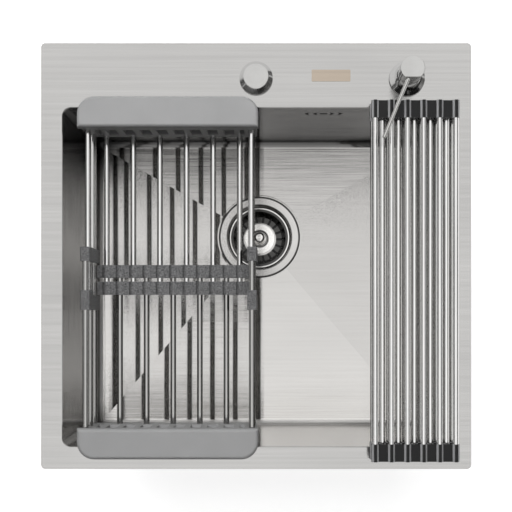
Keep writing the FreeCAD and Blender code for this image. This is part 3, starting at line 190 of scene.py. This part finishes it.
# scatter spreads reflections across the lines, dish turns a level floor as a slightly hollow one would be,
# the wall setting paints shade on the rear wall and paints light on the front one on their inner sides, and
# the floor setting paints shade on the floor
def brushedSheet(name, tone, rough, scatter=0.9, banding=0.3, dish=0.0, paintedShade=0.0, paintedFloorShade=0.0,
                 softBends=0.0, hollow=None, corners=()):
    f = Finish(name)
    x, y, z = f.split(f.here())
    facingX, facingY, facingZ = f.split(f.facing())
    sideways = abs(facingX).above(brush["upright"])
    level = facingZ.above(brush["upright"])
    bend = facingZ.above(brush["bendStart"]) * facingZ.below(brush["bendEnd"])
    toFront = facingY.atMost(0.0)
    inner = (facingY * y).below(0.0)  # a wall's inner side faces the middle

    def lines(kind):
        along, across = brush[kind + "Along"], brush[kind + "Across"]
        kinds = {"detail": brush[kind + "Detail"], "rough": brush[kind + "Rough"]}
        alongX = f.noise(f.stretched(along, across, across), **kinds)
        alongY = f.noise(f.stretched(across, along, across), **kinds)
        return alongX + sideways * (alongY - alongX) - 0.5

    tip = lines("line") * (1 + bend * brush["bendScatter"]) * scatter
    bands = lines("band")
    cloud = f.noise(f.stretched(*brush["cloudSize"])) - 0.5
    flare = (x - brush["flareFrom"]).atLeast(0.0) ** 2 * brush["flare"]
    lean = (x + flare) * dish * level * -1
    # the bands and clouds are the sheet's own tone; the side walls get painted shade
    shade = 1 + bands * banding + cloud * brush["cloudShade"] - sideways * brush["sideShade"]
    # painted shade on the rear wall's inner side and painted light on the front wall's inner side
    shade = shade + (facingY + toFront * brush["rearShade"]) * paintedShade * inner
    # painted shade on the floor: darker towards the rear, and its facets lighter or darker by the way they
    # face
    shade = shade + (facingX * brush["creaseShade"] - y) * level * paintedFloorShade
    # painted shade near each listed corner, darkest at the corner
    for cornerX, cornerY, nearby, spread in corners:
        awayX, awayY = x - cornerX, y - cornerY
        shade = shade * ((awayX * awayX + awayY * awayY) ** 0.5).between(nearby, spread)
    # painted shade inside a recess
    if hollow:
        inside = 1
        for along, middle, half in zip((x, y, z), hollow["middle"], hollow["half"]):
            inside = abs(along - middle).below(half) * inside
        shade = shade * (1 - inside * brush["hollowShade"])
    lift = bend * toFront * (softBends * brush["bendLift"])
    return f.finish(
        Base_Color=f.tinted(tone, shade),
        Metallic=1 - bend * softBends if softBends else 1.0,
        Roughness=bands * brush["bandPolish"] + rough,
        Normal=f.tipped(lean, tip * (1 - sideways), tip * (1 - level) - lift),
    )


# drawn tube, with long lines and faint patches
draw = {
    "lineSize": (1600.0, 5.0, 1600.0), "patchSize": (60.0, 12.0, 60.0), "lineShare": 0.6, "patchShare": 0.4,
    "dark": (0.3, 0.92), "light": (0.7, 1.05), "lineRough": 0.12, "patchRough": 0.05,
    "strength": 0.1, "depth": 0.0002,
}


def drawnTube(name, tone, rough):
    f = Finish(name)
    lines = f.noise(f.stretched(*draw["lineSize"]))
    patches = f.noise(f.stretched(*draw["patchSize"]))
    stops = [(place, [part * level for part in tone]) for place, level in (draw["dark"], draw["light"])]
    return f.finish(
        Base_Color=f.ramp(lines * draw["lineShare"] + patches * draw["patchShare"], stops),
        Metallic=1.0,
        Roughness=(lines - 0.5) * draw["lineRough"] + (patches - 0.5) * draw["patchRough"] + rough,
        Normal=f.bump(lines, draw["strength"], draw["depth"]),
    )


# round parts with rings from the lathe, with ring counts to the metre
lathe = {
    "rings": 5200.0, "ringShade": 0.2, "ringRough": 0.1, "cloudSize": 40.0, "cloudShade": 0.2,
    "farSide": (-0.3, 0.9, 0.3), "slopeShade": 0.3, "paintedSheenFrom": 0.6, "paintedSheen": 0.25, "stopsReach": 0.1,
    "hub": 0.00001,
}


# stops are painted shade and painted highlights by radius, as shares of stopsReach, and lift turns the far
# side of a slope up to the lamp and paints shade on the slopes
def turnedMetal(name, tone, rough, centre, scatter, stops=(), lift=0.0):
    f = Finish(name)
    facingX, facingY, facingZ = f.split(f.facing())
    x, y, z = f.split(f.here())
    x, y = x - centre[0], y - centre[1]
    reach = (x * x + y * y) ** 0.5 + lathe["hub"]
    rings = f.noise(f.join(reach * lathe["rings"], z * lathe["rings"], 0.0)) - 0.5
    cloud = f.noise(f.here(), scale=lathe["cloudSize"]) - 0.5
    shade = 1 + rings * lathe["ringShade"] + cloud * lathe["cloudShade"]
    farX, farY, farStart = lathe["farSide"]
    farSide = (facingY * farY + facingX * farX + farStart).atLeast(0.0) * lift
    if lift:
        # painted shade on the slopes
        shade = shade - (1 - facingZ) * lathe["slopeShade"]
    if stops:
        # painted sheen: lighter to the left and right of the centre and darker in front and behind
        paintedSheen = (abs(x) / reach - lathe["paintedSheenFrom"]) * lathe["paintedSheen"]
        shade = (shade + paintedSheen) * f.ramp(reach / lathe["stopsReach"], stops)
    tip = rings * scatter
    return f.finish(
        Base_Color=f.tinted(tone, shade),
        Metallic=1.0,
        Roughness=rings * lathe["ringRough"] + rough,
        Normal=f.tipped(x / reach * tip, y / reach * tip, tip + farSide),
    )


# moulded plastic and rubber, with grain counts to the metre
mould = {
    "grainDetail": 3.0, "grainRough": 0.6, "grainShade": 4, "grainPolish": 0.2, "strength": 0.3,
    "cloudSize": 28.0, "cloudShade": 0.2, "edgeStart": 0.3, "edgeEnd": 0.6, "flank": 0.93,
}


# edge paints highlights on the slopes of ribs, the side setting paints light on what faces right and shade
# on what faces left, and the shade setting paints shade on what faces the front
def moulded(name, tone, rough, grain, speckle, depth, shine=0.5, edge=0.0, paintedShade=0.0, paintedSideLight=0.0):
    f = Finish(name)
    facingX, facingY = f.split(f.facing())[:2]
    grains = f.noise(f.here(), scale=grain, detail=mould["grainDetail"], rough=mould["grainRough"])
    cloud = f.noise(f.here(), scale=mould["cloudSize"]) - 0.5
    shade = 1 + (grains - 0.5) * (speckle * mould["grainShade"]) + cloud * mould["cloudShade"]
    # painted shade on what faces the front
    if paintedShade:
        shade = shade * (1 + facingY.atMost(0.0) * paintedShade)
    # painted light on what faces right and painted shade on what faces left
    if paintedSideLight:
        shade = shade * (1 + facingX * paintedSideLight)
    # painted highlights on the slopes of ribs
    if edge:
        steep = abs(facingX)
        slope = steep.between(mould["edgeStart"], mould["edgeEnd"]) * steep.below(mould["flank"])
        shade = shade + slope * edge
    return f.finish(
        Base_Color=f.tinted(tone, shade),
        Roughness=(grains - 0.5) * mould["grainPolish"] + rough,
        Specular_IOR_Level=shine,
        Normal=f.bump(grains, mould["strength"], depth),
    )


drain = (0.0, 0.0408)

# each finish: what makes it, the nodes that wear it, and its own settings
looks = {
    "deckSteel": (brushedSheet, ["deck_plate"], {"tone": (0.44, 0.435, 0.426), "rough": 0.12}),
    "bowlSteel": (brushedSheet, ["bowl"], {
        "tone": (0.5, 0.49, 0.477), "rough": 0.04, "scatter": 1.4, "banding": 0.12, "dish": 0.38,
        # painted shade on the rear wall, painted light on the front wall, painted shade on the floor
        "paintedShade": 0.72, "paintedFloorShade": 0.55, "softBends": 0.5,
        # painted shade in the overflow slots
        "hollow": {"middle": (0.08, 0.17315, -0.028), "half": (0.027, 0.0005, 0.006)},
        # painted shade in the rear-left and front-left corners
        "corners": ((-0.234, 0.182, 0.02, 0.09), (-0.234, -0.231, 0.0, 0.05)),
    }),
    "hiddenSteel": (brushedSheet, ["overflow_housing", "pipe_bands"], {
        "tone": (0.42, 0.42, 0.415), "rough": 0.2,
        # painted shade inside the housing
        "hollow": {"middle": (0.08, 0.1805, -0.038), "half": (0.0295, 0.0187, 0.02645)},
    }),
    "roseMetal": (brushedSheet, ["badge_plate"], {"tone": (0.42, 0.36, 0.295), "rough": 0.25}),
    "pressedSteel": (turnedMetal, ["strainer_cup"], {
        "tone": (0.5, 0.49, 0.478), "rough": 0.2, "centre": drain, "scatter": 0.5,
        # painted shade inside 47 mm and beyond 55 mm from the drain's middle, and a painted bright ring
        # between
        "stops": ((0.41, 0.1), (0.43, 0.15), (0.47, 1.0), (0.54, 1.0), (0.55, 0.1)),
    }),
    "basketSteel": (turnedMetal, ["basket"], {
        "tone": (0.6, 0.59, 0.575), "rough": 0.12, "centre": drain, "scatter": 0.3,
        # painted highlights in the middle and on the rim, and painted shade in between
        "stops": ((0.22, 1.0), (0.24, 0.1), (0.4, 0.1), (0.41, 1.2)),
    }),
    "capSteel": (turnedMetal, ["basket_cap", "basket_knob"], {
        "tone": (0.6, 0.59, 0.575), "rough": 0.15, "centre": drain, "scatter": 0.3,
        # painted highlights on the knob and the dome, and a painted shade ring around the knob
        "stops": ((0.08, 1.2), (0.09, 0.3), (0.125, 0.4), (0.135, 1.3)),
    }),
    # lift paints shade on the cover's slopes
    "coverSteel": (turnedMetal, ["tap_hole_cover"], {
        "tone": (0.47, 0.466, 0.457), "rough": 0.2, "centre": (0.0, 0.206), "scatter": 0.2, "lift": 5.0,
    }),
    # lift paints shade on the dispenser's slopes
    "dispenserSteel": (turnedMetal, ["dispenser_base", "dispenser_head"], {
        "tone": (0.47, 0.466, 0.457), "rough": 0.2, "centre": (0.1749, 0.2056), "scatter": 0.2, "lift": 5.0,
    }),
    "spoutSteel": (drawnTube, ["dispenser_spout"], {"tone": (0.5, 0.495, 0.48), "rough": 0.2}),
    "tubeSteel": (drawnTube, ["colander_rear_rods", "colander_rear_rails", "mat_tubes"], {
        "tone": (0.72, 0.715, 0.705), "rough": 0.13,
    }),
    # the tube steel again with a darker tone: painted shade on the front half's rods and rails
    "frontTubeSteel": (drawnTube, ["colander_front_rods", "colander_front_rails"], {
        "tone": (0.4, 0.395, 0.385), "rough": 0.13,
    }),
    "zincSteel": (moulded, [
        "clamp_brackets", "clamp_arms", "clamp_screws", "cover_stud", "cover_bridge", "cover_wing_nut",
        "waste_bolt", "waste_bolt_nut", "pump_spring", "pump_check_ball",
    ], {
        "tone": (0.5, 0.5, 0.49), "rough": 0.4, "grain": 300.0, "speckle": 0.12, "depth": 0.0002,
    }),
    "gripPlastic": (moulded, ["colander_rear_end", "colander_front_end"], {
        "tone": (0.385, 0.385, 0.387), "rough": 0.5, "grain": 1400.0, "speckle": 0.03, "depth": 0.0001,
        # painted shade on what faces the front, under the grips
        "paintedShade": 0.6,
    }),
    "combPlastic": (moulded, [
        "colander_rear_comb", "colander_front_comb", "colander_rear_clips", "colander_front_clips",
    ], {
        "tone": (0.135, 0.135, 0.137), "rough": 0.6, "grain": 600.0, "speckle": 0.9, "depth": 0.0003,
        # painted light on the right-facing sides and painted shade on the left-facing ones
        "paintedSideLight": 0.9,
    }),
    "matSilicone": (moulded, ["mat_front_strip", "mat_rear_strip"], {
        "tone": (0.01, 0.01, 0.0102), "rough": 0.2, "grain": 700.0, "speckle": 0.1, "depth": 0.0,
        # painted highlights on the strips' ridges
        "shine": 0.2, "edge": 42.0,
    }),
    "blackRubber": (moulded, [
        "flange_seal", "waste_gasket", "basket_stopper", "cover_gasket", "dispenser_washer", "sound_dampers",
        "edge_tape",
    ], {
        "tone": (0.02, 0.02, 0.02), "rough": 0.6, "grain": 500.0, "speckle": 0.2, "depth": 0.0002,
    }),
    "blackPlastic": (moulded, ["waste_body", "overflow_pipe", "dispenser_shank", "dispenser_nut"], {
        "tone": (0.02, 0.02, 0.021), "rough": 0.35, "grain": 900.0, "speckle": 0.15, "depth": 0.0001,
    }),
    "whitePlastic": (moulded, [
        "pump_cylinder", "pump_guide", "pump_piston", "dip_tube", "dispenser_bottle",
    ], {
        "tone": (0.75, 0.75, 0.73), "rough": 0.35, "grain": 600.0, "speckle": 0.03, "depth": 0.0001,
    }),
}
for name, (make, wearers, settings) in looks.items():
    material = make(name, **settings)
    for wearer in wearers:
        node = nodes[wearer]
        if not node.material_slots:
            node.data.materials.append(None)
        for slot in node.material_slots:
            slot.material = material
print("finishes on")

# the pump's spring as a copy in its place, hung on the sink
coil = bpy.data.objects.new("pump_coil", nodes["pump_spring"].data.copy())
bpy.context.scene.collection.objects.link(coil)
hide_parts("pump_spring")
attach(coil, "sink")
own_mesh(coil)
print("pump spring in")

# white paper under the sink, and a dim room that only reflections see
studio = {
    "floorZ": -0.2915, "floorWide": 8, "paper": 0.8, "paperGlow": 0.8, "horizonGlow": 0.2,
    "horizon": (0.6, 3.0), "skyGlow": 0.05,
    "roomWide": 14.0, "roomLow": 2.0, "roomHigh": 6.0, "openSide": -0.9,
    "wallFrom": 0.99, "ceiling": 0.05, "front": 0.05, "sides": 0.15, "rear": 0.7,
    "screenWide": 0.8, "screenThick": 0.05, "screenX": 1.5, "screenInset": 0.1,
}
scene = bpy.context.scene


# 1 for what looks straight at it, also in metal and through glass, and 0 for the rest
def straightRays(f):
    names = ("Is Camera Ray", "Is Glossy Ray", "Is Transmission Ray")
    camera, glossy, through = f.outputs("ShaderNodeLightPath", names)
    return camera.atLeast(glossy).atLeast(through)


def glowing(f, level):
    return f.add("ShaderNodeEmission", inputs={"Color": f.tinted((1, 1, 1), level), "Strength": 1.0})


bpy.ops.mesh.primitive_plane_add(size=studio["floorWide"], location=(0, 0, studio["floorZ"]))
floor = bpy.context.object
floor.name = "floor"
f = Finish("floorPaper")
paper = f.add("ShaderNodeBsdfDiffuse", inputs={"Color": [studio["paper"]] * 3})
x, y = f.split(f.here())[:2]
away = ((x * x + y * y) ** 0.5).between(*studio["horizon"])
glow = glowing(f, straightRays(f) * (away * studio["horizonGlow"] + studio["paperGlow"]))
f.surface("ShaderNodeOutputMaterial", f.add("ShaderNodeAddShader", inputs={0: paper, 1: glow}))
floor.data.materials.append(f.material)

# the room is open near the ground, where the white surroundings show, and closed in front
f = Finish("roomDim")
x, y, z = f.split(f.here())
wall = studio["wallFrom"]
walls = abs(x).above(wall) * studio["sides"] + y.above(wall) * studio["rear"] + studio["front"]
f.surface("ShaderNodeOutputMaterial", glowing(f, walls * z.below(wall) + studio["ceiling"]))
half, low, high, ground = studio["roomWide"] / 2, studio["roomLow"], studio["roomHigh"], studio["floorZ"]
rooms = {
    "upperRoom": {"half": (half, half, (high - low) / 2), "middle": (0, 0, (high + low) / 2)},
    "frontScreen": {
        "half": (half * studio["screenWide"], studio["screenThick"], (low - ground) / 2),
        "middle": (studio["screenX"], studio["screenInset"] - half, (low + ground) / 2),
    },
}
for name, box in rooms.items():
    bpy.ops.mesh.primitive_cube_add(size=2, location=box["middle"])
    room = bpy.context.object
    room.name = name
    room.scale = box["half"]
    room.visible_camera = False
    bpy.ops.object.mode_set(mode="EDIT")
    bpy.ops.mesh.select_mode(type="FACE")
    bpy.ops.mesh.select_all(action="DESELECT")
    bpy.ops.object.mode_set(mode="OBJECT")
    for face in room.data.polygons:
        face.select = face.normal.z < studio["openSide"]
    bpy.ops.object.mode_set(mode="EDIT")
    bpy.ops.mesh.delete(type="FACE")
    bpy.ops.object.mode_set(mode="OBJECT")
    room.data.materials.append(f.material)

if scene.world is None:
    scene.world = bpy.data.worlds.new("studio")
f = Finish("studio", scene.world)
plain = f.add("ShaderNodeBackground", inputs={"Color": (1, 1, 1), "Strength": studio["skyGlow"]})
white = f.add("ShaderNodeBackground", inputs={"Color": (1, 1, 1), "Strength": 1.0})
sky = f.add("ShaderNodeMixShader", inputs={0: straightRays(f), 1: plain, 2: white})
f.surface("ShaderNodeOutputWorld", sky)

# one wide lamp overhead that the metal shows, and one behind the sink that lights the plastic and the paper
lamps = {
    "overhead": {"place": (0.0, -0.65, 2.0), "size": (3.0, 5.7), "glow": 1.2, "inMetal": True},
    "behind": {"place": (-0.3, 1.3, 2.2), "size": (2.0, 2.0), "glow": 4.5, "inMetal": False},
}
for name, kind in lamps.items():
    bpy.ops.object.light_add(type="AREA", location=kind["place"])
    lamp = bpy.context.object
    lamp.name = name
    lamp.data.shape = "RECTANGLE"
    lamp.data.size, lamp.data.size_y = kind["size"]
    lamp.data.energy = kind["glow"] * math.pi * kind["size"][0] * kind["size"][1]
    lamp.visible_camera = False
    lamp.visible_glossy = kind["inMetal"]
    lamp.visible_diffuse = not kind["inMetal"]

view = {"place": (0.0219, -0.0685, 0.979), "lens": 59.1, "sensor": 36, "shiftX": -0.0371, "shiftY": 0.1152}
bpy.ops.object.camera_add(location=view["place"], rotation=(0, 0, 0))
camera = bpy.context.object
camera.data.lens = view["lens"]
camera.data.sensor_width = view["sensor"]
camera.data.shift_x = view["shiftX"]
camera.data.shift_y = view["shiftY"]
scene.camera = camera
scene.view_settings.view_transform = "Standard"
print("lamps and camera set")
